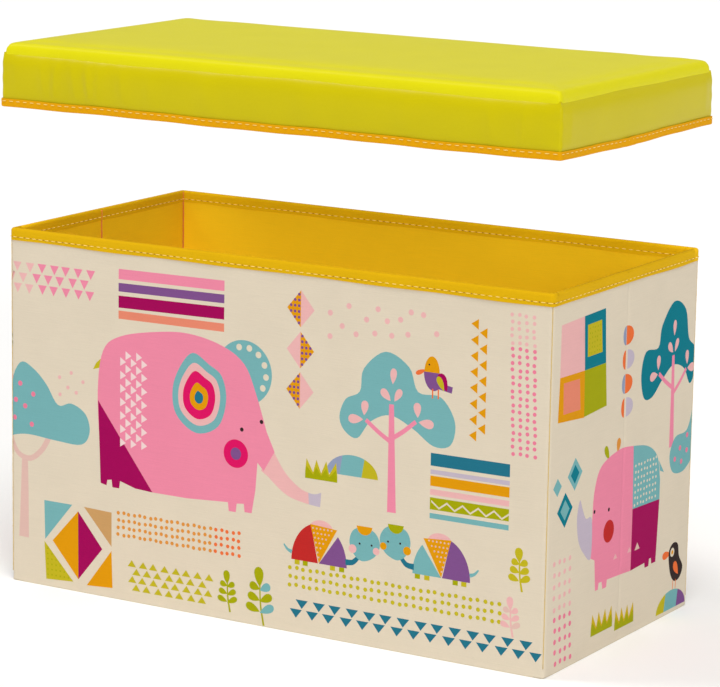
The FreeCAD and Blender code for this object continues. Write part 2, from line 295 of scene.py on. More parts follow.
def cloth(name, colour, thread=0.7, slub=0.05, roughness=0.85, sheen=0.015, bump=0.25, specular=0.05):
    """Plain-woven cloth: crossed threads, slubs along the weft, uneven dye. With no colour, it is printed."""
    n = Nodes(name, roughness, sheen, specular)
    uv = n.add("ShaderNodeUVMap", uv_map="weave").outputs[0]
    threads = 0.5 / thread
    warp, weft = n.wave(uv, "X", threads), n.wave(uv, "Y", threads)
    weave = n.math("MULTIPLY", n.math("ADD", warp, weft), 0.5)
    slubs = n.noise(n.scaled(uv, (0.035, 1.1, 1.0)), 1.0, 4.0)
    mottle, worn = n.noise(uv, 0.02, 3.0), n.noise(uv, 0.35, 5.0)
    light = n.math("ADD", n.span(slubs, -slub, slub), n.span(weave, -0.03, 0.03))
    light = n.math("ADD", light, n.span(mottle, -0.04, 0.04))
    light = n.math("ADD", light, n.span(worn, 0.98, 1.02))
    if colour is None:
        base = n.add("ShaderNodeAttribute", attribute_name="print").outputs["Color"]
    else:
        base = linear(*colour)
    height = n.math("ADD", n.math("MULTIPLY", weave, 0.4), slubs)
    rough = n.span(worn, roughness - 0.08, roughness + 0.06)
    return n.finish(n.tint(base, light), height, bump, 0.0006, rough)


def fibrous(name, colour, streak, roughness):
    """Pressed board, card or foam: speckled, with short fibres or cells."""
    n = Nodes(name, roughness)
    place = n.add("ShaderNodeTexCoord").outputs["Object"]
    fibres = n.noise(n.scaled(place, streak), 1.0, 6.0)
    specks = n.noise(place, 900.0, 2.0)
    light = n.math("ADD", n.span(fibres, 0.8, 1.1), n.span(specks, -0.08, 0.08))
    rough = n.span(specks, roughness - 0.1, roughness)
    return n.finish(n.tint(linear(*colour), light), fibres, 0.3, 0.0005, rough)


def thread(name, colour):
    """Twisted sewing thread."""
    n = Nodes(name, 0.6, 0.3)
    place = n.add("ShaderNodeTexCoord").outputs["Object"]
    twist = n.wave(place, "DIAGONAL", 900.0)
    return n.finish(n.tint(linear(*colour), n.span(twist, 0.85, 1.08)), twist, 0.4, 0.0003)


PRINT = {
    "cream": (216, 204, 183),
    "pink": (229, 133, 159),
    "soft_pink": (226, 173, 172),
    "rose": (226, 122, 148),
    "pale": (232, 205, 204),
    "faded": (216, 180, 170),
    "magenta": (156, 4, 84),
    "cerise": (213, 17, 95),
    "purple": (122, 77, 135),
    "salmon": (223, 132, 106),
    "aqua": (113, 170, 173),
    "teal": (33, 110, 132),
    "deep_teal": (0, 117, 133),
    "mustard": (216, 147, 5),
    "tan": (195, 151, 97),
    "lime": (158, 160, 4),
    "yellow_lime": (186, 173, 30),
    "mustard_lime": (196, 168, 20),
    "lavender": (187, 175, 190),
    "slate": (140, 150, 178),
    "orange": (212, 140, 58),
    "red": (186, 40, 38),
    "flame": (227, 108, 54),
    "dark": (50, 38, 37),
}
WALL_CLOTH = cloth("printed_cloth", None)
TAPE_CLOTH = cloth("rim_tape_cloth", (217, 171, 10), thread=0.9, slub=0.06, bump=0.3)
LINING_CLOTH = cloth("lining_cloth", (236, 192, 26), thread=0.8, slub=0.06)
BOTTOM_CLOTH = cloth("bottom_cloth", (212, 200, 176), thread=0.8)
WEBBING = cloth("webbing", (215, 152, 16), thread=1.6, slub=0.02, bump=0.5)
SATIN = {"thread": 0.5, "slub": 0.02, "sheen": 0.0, "bump": 0.08}
# The lid's top and its skirt are one satin in two copies: the skirt's copy is painted darker, as painted
# shade for sides that face away from the light from above.
LID_CLOTH = cloth("lid_cloth", (219, 211, 8), roughness=0.42, specular=0.12, **SATIN)
LID_SIDE_SHADED_CLOTH = cloth("lid_side_cloth", (200, 186, 0), roughness=0.34, specular=0.13, **SATIN)
LID_LINING = cloth("lid_lining_cloth", (196, 188, 56), thread=0.8)
LID_TAPE = cloth("lid_hem_tape_cloth", (226, 160, 8), thread=0.9, slub=0.05, bump=0.3)
BOARD = fibrous("hardboard", (126, 92, 60), (60.0, 400.0, 60.0), 0.7)
CARD = fibrous("card", (170, 142, 104), (80.0, 80.0, 300.0), 0.85)
FOAM = fibrous("foam", (232, 226, 204), (500.0, 500.0, 500.0), 0.95)
PALE_THREAD = thread("pale_thread", (250, 222, 120))
CORNER_THREAD = thread("corner_thread", (222, 190, 110))
SEAM_THREAD = thread("seam_thread", (226, 112, 6))
GOLD_THREAD = thread("gold_thread", (226, 176, 60))
# Colour of the cone at each needle hole: painted shade for the hole.
NEEDLE_HOLE_SHADE = thread("needle_hole_painted_shade", (150, 92, 8))


# ---------------------------------------------------------------- the print

def smooth(points, closed=True, steps=5):
    """Catmull-Rom curve through the points."""
    count = len(points)
    out = []
    for i in range(count if closed else count - 1):
        picks = [k % count if closed else min(max(k, 0), count - 1) for k in range(i - 1, i + 3)]
        corners = list(zip(*(points[k] for k in picks)))
        for t in (s / steps for s in range(steps)):
            out.append(tuple(0.5 * (2 * b + (c - a) * t + (2 * a - 5 * b + 4 * c - d) * t * t
                                    + (3 * b - a - 3 * c + d) * t ** 3) for a, b, c, d in corners))
    return out if closed else out + [tuple(points[-1])]


def disc(u, z, r, sides=None):
    """Outline of a circle."""
    sides = sides or max(8, int(6 + 2.2 * r))
    turns = [2 * math.pi * i / sides for i in range(sides)]
    return [(u + r * math.cos(a), z + r * math.sin(a)) for a in turns]


def spots(colour, r, *places):
    """A dot at each place."""
    return [(colour, disc(u, z, r)) for u, z in places]


def arc(u, z, rx, rz, start, end, steps=14):
    """Points along an ellipse, angles in degrees."""
    angles = [math.radians(start + (end - start) * i / steps) for i in range(steps + 1)]
    return [(u + rx * math.cos(a), z + rz * math.sin(a)) for a in angles]


def triangle(u, z, width, height, facing):
    """Outline of an isosceles triangle round its middle."""
    w, t = width / 2, height / 2
    turned = {"down": [(-w, t), (0, -t), (w, t)], "up": [(-w, -t), (w, -t), (0, t)],
              "left": [(-t, 0), (t, -w), (t, w)], "right": [(-t, w), (-t, -w), (t, 0)]}
    return [(u + a, z + b) for a, b in turned[facing]]


def diamond(u, z, wide, tall):
    """Outline of a diamond round its middle, wide and tall to each side."""
    return [(u - wide, z), (u, z - tall), (u + wide, z), (u, z + tall)]


def band(u0, u1, z0, z1, rise=0.0):
    """Outline of a stripe whose right end is rise higher."""
    return [(u0, z0), (u1, z0 + rise), (u1, z1 + rise), (u0, z1)]


def leaf(u0, z0, u1, z1, width):
    """Outline of a drop with its point at the first place and its round end at the second."""
    along = Vector((u1 - u0, z1 - z0))
    length = along.length
    along.normalize()
    across = Vector((-along.y, along.x))
    out = []
    for i in range(16):
        a = math.pi * 2 * i / 16
        reach = length * (1 - math.cos(a)) / 2
        side = width / 2 * math.sin(a) * (reach / length) ** 0.5 * 1.15
        out.append((u0 + along.x * reach + across.x * side, z0 + along.y * reach + across.y * side))
    return out


def stroke(points, start, end):
    """Outline of a line along a smooth curve whose width goes from start to end."""
    line = [Vector(p) for p in smooth(points, closed=False)]
    last = len(line) - 1
    left, right = [], []
    for i, p in enumerate(line):
        way = line[min(i + 1, last)] - line[max(i - 1, 0)]
        side = Vector((-way.y, way.x)).normalized() * (start + (end - start) * i / last) / 2
        left.append(tuple(p + side))
        right.append(tuple(p - side))
    return left + right[::-1]


def dots(colour, u0, z0, count_u, count_z, step_u, step_z, r, drift=0.0):
    """Rows of dots from the top left, a little uneven as a hand-drawn print is."""
    shapes = []
    for j in range(count_z):
        for i in range(count_u):
            u = u0 + i * step_u + drift * j + 0.5 * math.sin(2.3 * i + 1.7 * j)
            z = z0 - j * step_z + 0.5 * math.sin(1.9 * i + 2.9 * j)
            shapes.append((colour, disc(u, z, r, sides=8)))
    return shapes


def triangle_rows(colour, u0, z0, counts, step_u, step_z, shift, width, height, facing):
    """Rows of small triangles, every second row moved sideways by shift."""
    shapes = []
    for j, count in enumerate(counts):
        for i in range(count):
            u = u0 + i * step_u + (shift if j % 2 else 0) + 0.6 * math.sin(2.1 * i + j)
            shapes.append((colour, triangle(u, z0 - j * step_z, width, height, facing)))
    return shapes


def sprig(u, z, height, colours, width):
    """A stem with pairs of leaves and one at its tip."""
    lean = 0.08 * height
    stem = [(u + lean, z), (u + 0.2 * lean, z + 0.35 * height), (u, z + 0.72 * height)]
    shapes = [(colours[0], stroke(stem, 2.2, 1.4)),
              (colours[0], leaf(u, z + 0.66 * height, u - 0.03 * height, z + height, width))]
    for k in range(3):
        base = z + height * (0.24 + 0.19 * k)
        reach = height * (0.27 - 0.035 * k)
        left, right = colours[(2 * k + 1) % len(colours)], colours[(2 * k + 2) % len(colours)]
        shapes += [(left, leaf(u, base, u - reach, base + 0.35 * reach, width * 0.8)),
                   (right, leaf(u, base - 1, u + reach, base + 0.45 * reach, width * 0.8))]
    return shapes


def half_diamonds(u, z, mustard_left):
    """A diamond with one pale half and one dotted half."""
    side = -1 if mustard_left else 1
    tall, wide = 17.5, 15.0
    shapes = [("soft_pink", [(u, z + tall), (u, z - tall), (u - side * wide, z)]),
              ("mustard", [(u, z + tall), (u, z - tall), (u + side * wide, z)])]
    for column, count in enumerate((6, 4, 2)):
        for i in range(count):
            place = z + (i - (count - 1) / 2) * 5.4
            shapes.append(("purple", disc(u + side * (2.0 + 4.4 * column), place, 1.5, sides=8)))
    return shapes


def hill(u, z, colours, half=28.0, tall=20.0):
    """A half-round hill in three colours."""
    shapes = []
    for colour, start, end in zip(colours, (180, 112, 62), (112, 62, 0)):
        edge = arc(u, z, half, tall, start, end, 8)
        foot = edge[0][0] - (3 if start < 180 else 0)
        shapes.append((colour, edge + [(edge[-1][0] - 3, z), (foot, z)]))
    return shapes


def grass(u, z, spikes, step, tall, colour="yellow_lime"):
    """A tuft of pointed blades, darker at its foot."""
    shapes = []
    for shade, share in ((colour, 1.0), ("lime", 0.62)):
        low, high = z + tall * 0.35 * share, z + tall * share
        outline = [(u, z)]
        for i in range(spikes):
            lean = (i / (spikes - 1) - 0.5) * 6
            outline += [(u + i * step, low), (u + (i + 0.5) * step + lean, high)]
        shapes.append((shade, outline + [(u + spikes * step, low), (u + spikes * step, z)]))
    return shapes


def tree(u, crown, trunk_top, crown_colour, tips, foot):
    """A cloud of leaves on a branching trunk."""
    trunk = [(u + 1, foot), (u, (foot + trunk_top) / 2), (u - 1, trunk_top)]
    shapes = [(crown_colour, smooth(crown)), ("pink", stroke(trunk, 9.5, 5.0))]
    for root, (a, b) in tips:
        way = math.copysign(1, a - u)
        shapes += [("pink", stroke([(u, root), ((u + a) / 2, (root + b) / 2 - 1), (a, b)], 4.5, 4.0)),
                   ("soft_pink", leaf(a + way * 3, b, a + way * 19, b - 1, 10)),
                   ("soft_pink", leaf(a + way * 2, b + 4, a + way * 1, b + 18, 9))]
    return shapes + [("soft_pink", leaf(u - 2, trunk_top + 3, u - 12, trunk_top + 13, 9)),
                     ("soft_pink", leaf(u + 2, trunk_top + 3, u + 9, trunk_top + 15, 8)),
                     ("soft_pink", leaf(u, trunk_top + 19, u + 1, trunk_top + 34, 8))]


def elephant_body():
    """The elephant's outline pieces from the back to its legs."""
    back = smooth([(-192, 150), (-194.5, 205), (-188, 246), (-168, 262), (-128, 271), (-90, 274), (-52, 267),
                   (-26, 252), (-12, 224), (0, 190)], closed=False)
    upper = smooth([(0, 190), (9, 171), (22, 153), (38, 141), (52, 137.5), (61, 140)], closed=False)
    lower = smooth([(60, 126), (44, 127.5), (24, 132), (6, 144), (-10, 159)], closed=False)
    belly = [(-12, 132), (-16, 109), (-24, 109), (-25, 117), (-33, 116), (-34, 107.5), (-42, 107.5),
             (-43, 116), (-90, 113), (-130, 113)]
    rear = [(-150, 114), (-168, 119), (-169, 111.5), (-177, 111.5), (-178, 119), (-183, 118), (-184, 112.5),
            (-191, 114)]
    return [("yellow_lime", [(-200, 226), (-196, 233), (-189, 239), (-190, 229)]),
            ("soft_pink", upper[4:] + lower[:-4] + [(-6, 152)]),
            ("pink", back + [(9, 172), (-3, 152), (-10, 159)] + belly + rear),
            ("magenta", [(-194, 196), (-130, 113)] + rear),
            ("lavender", [p for p in upper + lower if p[0] > 45])]


def elephant():
    """A plain pink elephant facing right."""
    shapes = [("aqua", disc(-26, 244, 31))]
    for k in range(6):
        a = math.radians(104 - 27 * k)
        shapes.append(("cream", disc(-26 + 24.5 * math.cos(a), 244 + 24.5 * math.sin(a), 3.2)))
    shapes += elephant_body()
    for column in range(5):
        for row in range(7):
            z = (237.5, 244)[column % 2] - 13.3 * row
            shapes.append(("pale", triangle(-164.5 + 6.2 * column, z, 8.6, 6.8, "right")))
    ear = [(-84, 256), (-66, 247), (-51, 237), (-46, 214), (-55, 188), (-80, 178.5), (-103, 194), (-107, 219),
           (-98, 242)]
    rings = (("aqua", 1.0), ("soft_pink", 0.78), ("cerise", 0.6), ("mustard", 0.34), ("teal", 0.16))
    for colour, share in rings:
        shapes.append((colour, smooth([(-77 + (a + 77) * share, 213 + (b - 213) * share) for a, b in ear])))
    return (shapes + spots("cerise", 13.8, (-34.5, 164.5)) + spots("purple", 6, (-34.5, 164.5))
            + spots("dark", 2.1, (-28, 188.8), (-6, 199)))


def turtle(u, z, way, cap, cheek):
    """A small turtle with a patchwork shell, facing way, +1 to the right."""
    def placed(*points):
        return [(u + way * a, z + b) for a, b in points]
    dome = arc(0, 0, 30.5, 38.5, 0, 180, 30)
    shapes = [("soft_pink", placed(*arc(2, 33, 13, 9, 0, 180))),
              ("purple" if way > 0 else "aqua", placed(*[p for p in dome if p[0] > 18], (0, 0))),
              ("red" if way > 0 else "purple", placed(*[p for p in dome if p[0] < -9], (-1, 0))),
              ("mustard", placed((-10, 37), (19.5, 35), (0, 0)))]
    for row in range(7):
        for k in range(max(1, 6 - row)):
            (a, b), = placed((-7 + 1.1 * row + 4.1 * k, 33.5 - 4.6 * row))
            shapes.append(("faded", disc(a, b, 1.0, sides=6)))
    for foot, colour in ((-24, "yellow_lime"), (-15, "lime"), (15, "yellow_lime"), (25, "lime")):
        shapes.append((colour, placed(*band(foot - 2.8, foot + 2.8, -4.5, 0))))
    head = [(33, 27), (37, 38), (49, 42.5), (61, 38), (66, 27), (60, 15), (47, 9.5), (37, 16)]
    shapes += [("aqua", placed(*stroke([(-30, 7), (-35, 9), (-39, 13.5)], 4, 1.5))),
               ("teal", placed(*stroke([(29, 6), (37, 7), (43, 13)], 6, 4))),
               ("aqua", smooth(placed(*head))),
               (cap, placed(*arc(49, 43, 8.5, 8.5, 180, 360, 8)))]
    return (shapes + spots(cheek, 4.2, *placed((36.5, 20))) + spots(cheek, 3.6, *placed((62, 21)))
            + spots("dark", 1.1, *placed((44, 26), (57, 26))))


def small_bird(u, z):
    """A perched bird facing left."""
    wing = arc(u + 2, z + 17, 10.5, 17, 180, 300)
    shapes = [("flame", leaf(u - 6, z + 19, u - 17, z + 14, 5)),
              ("mustard", arc(u, z + 17, 8, 15, 0, 180)),
              ("purple", wing + [(u + 21, z), (u + 22, z + 6), (u + 16, z + 7), (u + 10, z + 17)]),
              ("magenta", leaf(u + 16, z + 1, u + 8, z + 17, 11)),
              ("yellow_lime", leaf(u + 13, z + 1, u + 6, z + 14, 7))]
    for foot in (u + 1, u + 7):
        shapes.append(("flame", stroke([(foot, z + 2), (foot, z - 4), (foot, z - 7)], 1.4, 1.4)))
    return shapes + [("dark", disc(u - 3, z + 24, 0.9, sides=6))]


def corner_block():
    """A square of five pieces: a two-colour diamond and four corners."""
    u0, u1, z0, z1 = -259, -178, 8, 87
    mid_u, mid_z = -218, 47.5
    shapes = [("mustard", [(mid_u - 31, mid_z), (mid_u, mid_z - 35), (mid_u, mid_z + 34)]),
              ("magenta", [(mid_u, mid_z + 34), (mid_u, mid_z - 35), (mid_u + 29, mid_z)]),
              ("aqua", [(u0, z1), (u0 + 1, mid_z), (mid_u - 7, z1)]),
              ("tan", [(u1, z1 - 1), (mid_u + 7, z1), (u1, mid_z + 4)]),
              ("mustard", [(u1, mid_z), (u1 + 1, z0 + 2), (mid_u + 10, z0)]),
              ("yellow_lime", [(u0, mid_z - 2), (mid_u - 6, z0 + 1), (u0 + 2, z0 - 1)])]
    for row in range(6):
        for k in range(row + 1):
            shapes.append(("lime", disc(u0 + 4 + 5 * k, mid_z - 9 - 5.3 * row, 0.9, sides=6)))
    return shapes


def stripe_blocks():
    """The two stacks of stripes on the front."""
    upper = (("pink", 317.8, 10, 1.5), ("purple", 305.8, 8.4, 1.8), ("magenta", 290, 11.8, 2),
             ("salmon", 279.2, 8, 1))
    lower = (("teal", 182.3, 12), ("lavender", 174.6, 4.2), ("mustard", 163.4, 9.6), ("soft_pink", 155, 5.4),
             ("lime", 141.2, 11.4), ("aqua", 132.8, 5))
    zigzag = [(179 + 8.2 * i, 150 if i % 2 == 0 else 144) for i in range(11)]
    return ([(colour, band(-170, -49, z, z + thick, rise)) for colour, z, thick, rise in upper]
            + [(colour, band(177.5, 260, z, z + thick, 0.5)) for colour, z, thick in lower]
            + [("cream", zigzag + [(a, b - 1.9) for a, b in zigzag[::-1]])])


def cloud_tree():
    """The light blue tree that wraps round the front left corner."""
    crown = [(-288, 222), (-272, 218), (-256, 204), (-242, 185), (-226, 188.5), (-209, 180), (-204, 163),
             (-214, 149), (-245, 149), (-278, 151), (-300, 147), (-320, 138.5), (-344, 142), (-352, 160),
             (-340, 176), (-315, 178), (-303, 196)]
    shapes = [("faded", stroke([(-253, 151), (-262, 137), (-276, 127), (-291, 131), (-301, 148)], 6, 5)),
              ("faded", stroke([(-284, 46), (-283, 90), (-282.5, 128)], 12, 7)), ("aqua", smooth(crown))]
    shapes += spots("rose", 2.7, (-300, 207), (-288, 201), (-272, 192), (-293.5, 184), (-282, 179),
                    (-295, 166), (-274, 161.5), (-313, 173), (-329, 163), (-313, 158), (-340, 154),
                    (-325, 149))
    return shapes + spots("soft_pink", 2.0, (-226, 219), (-240, 213), (-212, 211.5), (-230, 204), (-220, 200),
                          (-239.5, 196))


def long_wall_print():
    """Everything printed on a long wall, u from the wall's middle."""
    shapes = cloud_tree() + stripe_blocks() + elephant() + corner_block()
    shapes += triangle_rows("soft_pink", -291, 317.5, (2, 2, 2), 15, 10.6, -8, 10.4, 9.4, "down")
    shapes += triangle_rows("pink", -261, 317.8, (5, 5, 5), 14.4, 10.4, -7, 10.6, 9.4, "down")
    shapes += half_diamonds(36, 312, True) + half_diamonds(36, 273, False) + half_diamonds(36, 234.5, True)
    shapes += spots("soft_pink", 2.8, (68, 312), (88, 320.5), (81, 301), (68, 290), (96, 295), (107, 310),
                    (119, 321), (116, 298), (129, 311), (134, 298), (143, 314), (154, 322), (151, 301),
                    (167, 321), (181, 305))
    crown = [(79.5, 216), (86, 233), (101, 242), (105, 264), (128, 282.5), (153, 271), (163, 249), (187, 247),
             (202, 226), (198, 204), (180, 200.5), (158, 214), (134, 223.5), (113, 215), (99, 197.5),
             (85, 203)]
    shapes += tree(136, crown, 234, "aqua", [(198, (108, 216)), (202, (161, 221))], 132)
    shapes += small_bird(177, 252)
    for i in range(15):
        shapes.append(("mustard", triangle((220.5, 229.5)[i % 2], 319 - 7.35 * i, 10, 7.8, "left")))
    shapes += dots("soft_pink", 258, 332, 4, 5, 7.4, 6.4, 1.9, 0.3)
    shapes += dots("rose", 259.5, 301, 4, 16, 7.4, 6.4, 2.0, 0.2)
    shapes += hill(94, 160.5, ("slate", "aqua", "yellow_lime")) + grass(43, 152, 4, 8.8, 19)
    shapes += turtle(59.5, 71.5, 1, "mustard", "soft_pink") + turtle(191, 78, -1, "lime", "mustard")
    shapes += dots("yellow_lime", 27.5, 63, 31, 3, 7.5, 8.3, 2.2)
    shapes += triangle_rows("teal", 41, 28.5, (14, 15), 18.4, 9.6, -7, 13.6, 8.6, "down")
    shapes += dots("orange", -170, 87, 18, 4, 6.3, 7.2, 2.0) + dots("flame", -56.5, 87, 5, 4, 6.6, 7.2, 2.0)
    shapes += triangle_rows("yellow_lime", -154, 38.5, (8, 7, 8, 7), 12.8, 7.9, 5, 10, 6.8, "up")
    shapes += sprig(-43, 8, 41, ("lime",), 8.5) + sprig(-6, 0, 58, ("lime", "lime", "aqua", "lime"), 12)
    shapes += sprig(272, 78, 41, ("yellow_lime",), 9.5)
    return shapes + sprig(264, 34, 38, ("soft_pink", "soft_pink", "faded"), 8)


def rhino():
    """A plain pink rhinoceros facing left, with a patched rear."""
    body = smooth([(-61, 133), (-58, 158), (-45, 178), (-10, 186.5), (20, 184.5), (52, 178), (72, 164),
                  (79, 140)], closed=False)
    legs = [(75, 60), (66, 60), (65, 66), (61, 66), (60, 59), (52, 59), (51, 64), (22, 63)]
    fore = [(-27, 65.5), (-28, 58.5), (-36, 58.5), (-38, 66), (-44, 66), (-45, 60), (-51, 60)]
    snout = [(-62, 131), (-74, 134), (-82, 146), (-87, 154), (-92, 138), (-88, 116), (-76, 101), (-62, 94)]
    shapes = [("lime", leaf(-30, 181, -39, 195, 9)), ("orange", leaf(-13, 184, -10, 198, 10)),
              ("pink", body + legs + fore + [(-54, 90), (-63, 94)]),
              ("aqua", [(20, 184.5)] + [p for p in body if p[0] > 21] + [(79, 121), (22, 123)]),
              ("magenta", [(22, 123), (79, 121)] + legs), ("aqua", [(75, 160), (87, 146), (78, 149)]),
              ("lavender", smooth(snout))]
    shapes += dots("cream", 26, 164, 8, 7, 6.2, 6.3, 1.5)
    shapes += [("faded", triangle(34.5, 84.5, 10.5, 7, "up")), ("soft_pink", triangle(-11, 84.5, 8, 5, "up")),
               ("soft_pink", triangle(18, 84.5, 8, 5, "up"))]
    return shapes + spots("red", 10.8, (-26.5, 112)) + spots("dark", 2.0, (-57, 137), (-27.5, 133))


def dark_bird():
    """A plain dark bird on a hill."""
    body = [(104, 62), (113, 70), (124, 67), (128, 54), (137, 42), (131, 32), (118, 31), (108, 42)]
    shapes = hill(113, 4, ("yellow_lime", "aqua", "purple"), 32, 19)
    shapes += [("flame", leaf(108, 61, 90, 61, 9)), ("dark", smooth(body)),
               ("flame", leaf(127, 36, 116, 50, 10))]
    shapes += spots("cream", 4.5, (112, 61)) + spots("mustard", 2.2, (112, 61))
    return shapes + [("flame", stroke([(foot, 32), (foot, 27), (foot, 23)], 1.2, 1.2)) for foot in (116, 122)]


def short_wall_print():
    """Everything printed on a short wall, u from the wall's middle."""
    shapes = [("soft_pink", [(-132.5, 324), (-88.5, 325.5), (-85.5, 275), (-133, 276)]),
              ("deep_teal", [(-88.5, 325.5), (-46.5, 326.5), (-43, 275), (-85.5, 275)]),
              ("yellow_lime", [(-82, 316.5), (-54, 317), (-51, 286.5), (-80.5, 286.5)]),
              ("mustard", [(-133, 276), (-85.5, 275), (-84, 231), (-135, 235)]),
              ("salmon", [(-126, 270), (-95, 269), (-92, 240), (-125, 241)]),
              ("lime", [(-85.5, 275), (-43, 275), (-39, 234), (-84, 231.5)])]
    shapes += dots("lime", -77.5, 312.5, 5, 6, 5.2, 4.6, 0.9)
    for i, z in enumerate((293.5, 270.5, 247.5, 225)):
        left, right = (("slate", "flame"), ("flame", "lavender"))[i % 2]
        shapes += [(left, arc(-2, z, 6.5, 9.3, 90, 270, 10)),
                   (right, arc(-1 + 2.5 * (i % 2), z, 14, 9.3, -90, 90, 10))]
    crown = [(31, 250), (40, 271), (66, 271), (73, 291), (98, 310.5), (124, 299), (133, 270), (148, 258),
             (152, 240), (139, 223.5), (124, 241), (100, 248.5), (78, 239), (56, 225), (38, 227)]
    shapes += tree(100, crown, 258, "deep_teal", [(226, (69, 245)), (220, (129, 240))], 168)
    for u, z, wide, tall, outer, inner in ((-132, 175, 8, 8.5, "aqua", "aqua"),
                                           (-98.5, 181, 14.5, 15.5, "aqua", "deep_teal"),
                                           (-116.5, 151, 15, 16.5, "deep_teal", "aqua")):
        shapes += [(outer, diamond(u, z, wide, tall)), (inner, diamond(u, z, wide * 0.58, tall * 0.58))]
    shapes += rhino() + dark_bird()
    shapes += dots("soft_pink", -134, 104, 4, 5, 10, 10.8, 2.6, 0.5)
    shapes += dots("rose", -131, 51, 4, 5, 9.8, 10.5, 2.7, 1.0)
    return shapes + grass(-57, 17, 4, 11, 21, "mustard_lime") + grass(-8, 11, 4, 10, 20, "mustard_lime")


def moved(shapes, shift):
    """The shapes, shifted along u."""
    return [(colour, [(u + shift, z) for u, z in outline]) for colour, outline in shapes]


LONG_PRINT = long_wall_print()
SHORT_PRINT = short_wall_print()
RING_PRINT = [shape for turn in range(-1, 4) for side, first in ((SHORT_PRINT, SIDE), (LONG_PRINT, 0))
              for shape in moved(side, first + turn * 2 * SIDE)]


# ---------------------------------------------------------------- the walls' cloth

def slack(u, z, low, high):
    """How far cloth stands off its board, in millimetres: soft vertical waves that die out at the edges."""
    edge = min(1.0, (z - low) / 40, (high - z) / 40)
    wave = 0.5 + 0.25 * math.sin(u / 41 + 0.7 * math.sin(z / 90)) + 0.25 * math.sin(u / 97 + z / 130 + 1.3)
    return max(0.0, edge) * wave


def near_corner(u):
    """0 at a corner of the box and 1 well away from it."""
    u = (u + HALF_X) % (2 * SIDE)
    gap = min(abs(u), abs(u - 2 * HALF_X), abs(u - 2 * SIDE))
    return min(1.0, max(0.0, (gap - CORNER) / 30))


def anticlockwise(outline):
    """The outline in the order that the triangulation takes as its inside."""
    area = sum(a[0] * b[1] - b[0] * a[1] for a, b in zip(outline, outline[1:] + outline[:1]))
    return outline if area > 0 else outline[::-1]


def crease_dip(u):
    """The pressed line down the middle of a short side, in millimetres."""
    return sum(0.6 * math.exp(-((u - crease) / 1.3) ** 2) for crease in MIDDLE_CREASES)


def print_layout(u0, u1, z0, z1):
    """A piece of the printed cloth laid flat: its places, its faces and each face's display colour."""
    where = columns(u0, u1, MESH_STEP)
    where += [c + gap for c in MIDDLE_CREASES for gap in (-2.6, -1.2, 0, 1.2, 2.6) if u0 < c + gap < u1]
    rows = np.linspace(z0, z1, max(2, round((z1 - z0) / MESH_STEP) + 1))
    points = [(u0, z0), (u1, z0), (u1, z1), (u0, z1)]
    outlines, colours = [[0, 1, 2, 3]], ["cream"]
    for colour, outline in RING_PRINT:
        us, zs = zip(*outline)
        if max(us) > u0 and min(us) < u1 and max(zs) > z0 and min(zs) < z1:
            outlines.append(list(range(len(points), len(points) + len(outline))))
            points += anticlockwise(outline)
            colours.append(colour)
    points += [(u, z) for u in where for z in rows]
    made = geometry.delaunay_2d_cdt([Vector(p) for p in points], [], outlines, 0, 1e-4)
    places, faces, owners = made[0], made[2], made[5]
    kept = [(face, max(owner)) for face, owner in zip(faces, owners) if 0 in owner]
    return places, [face for face, _ in kept], [PRINT[colours[top]] for _, top in kept]


def printed_sheet(name, u0, u1, z0, z1, loose=0.6):
    """Cloth over a wall's outside with the print as its own faces."""
    places, faces, tints = print_layout(u0, u1, z0, z1)
    order = {v: i for i, v in enumerate(sorted({v for face in faces for v in face}))}
    points = []
    for u, z in (places[v] for v in order):
        out = loose * slack(u, z, z0, z1) * near_corner(u) * min(1, (u - u0) / 12, (u1 - u) / 12)
        points.append(on_box(u, COVER_INSET - max(0, out) + crease_dip(u), z))
    obj = new_object(name, points, [[order[v] for v in face] for face in faces], WALL_CLOTH)
    paint(obj, [linear(*tint) for tint in tints])
    return solidify(weave_uv(obj), 0.8)


def paint(obj, face_colours):
    """Each face's colour of print, kept on its corners."""
    layer = obj.data.color_attributes.new("print", "FLOAT_COLOR", "CORNER")
    sizes = [len(p.vertices) for p in obj.data.polygons]
    flat = [(*c, 1.0) for c, size in zip(face_colours, sizes) for _ in range(size)]
    layer.data.foreach_set("color", np.array(flat, np.float32).ravel())


def lining_sheet(name, u0, u1):
    """Cloth on a wall's inside, a little off its board, but flat behind the raised base."""
    where, rows = columns(u0, u1, 7.0), np.linspace(COVER_LOW, RIM_TOP - 2, 46)

    def puff(u, z):
        out = 1.1 * slack(u * 1.3 + 40, z, COVER_LOW, RIM_TOP) * near_corner(u)
        out *= min(1, (u - u0) / 10, (u1 - u) / 10)
        behind = abs(u - 2 * SIDE) < HALF_X - LAP
        return max(0, out) * (min(1, max(0, z - RAISED_BASE) / 30) if behind else 1)
    points = [on_box(u, LINING_INSET + puff(u, z), z) for z in rows for u in where]
    return sheet(name, points, grid_faces(len(where), len(rows), flip=True), LINING_CLOTH, 0.6)


def tape_profile(low, high, depth, thick):
    """Closed section of a tape folded over an edge: inset and height, up the outside and down the inside."""
    half = depth / 2
    outer = [(0.0, z) for z in np.linspace(low, high - half, 4)]
    for a in np.linspace(0.3, math.pi - 0.3, 7):
        outer.append((half - half * math.cos(a), high - half + half * math.sin(a)))
    outer += [(depth, z) for z in np.linspace(high - half, low, 4)]
    inner = [(half + (a - half) * (half - thick) / half, min(z, high - thick)) for a, z in outer]
    return outer + inner[::-1]


def folded_tape(name, profile, where, place, material):
    """Tape with a closed section, its points given by place(u, inset, height), and both ends shut."""
    count, rows = len(where), len(profile)
    points = [place(u, inset, z) for inset, z in profile for u in where]
    faces = grid_faces(count, rows, close_v=True)
    faces += [[j * count for j in range(rows)], [j * count + count - 1 for j in range(rows)][::-1]]
    obj = weave_uv(new_object(name, points, faces, material))
    obj.data.set_sharp_from_angle(angle=SHARP)
    return obj


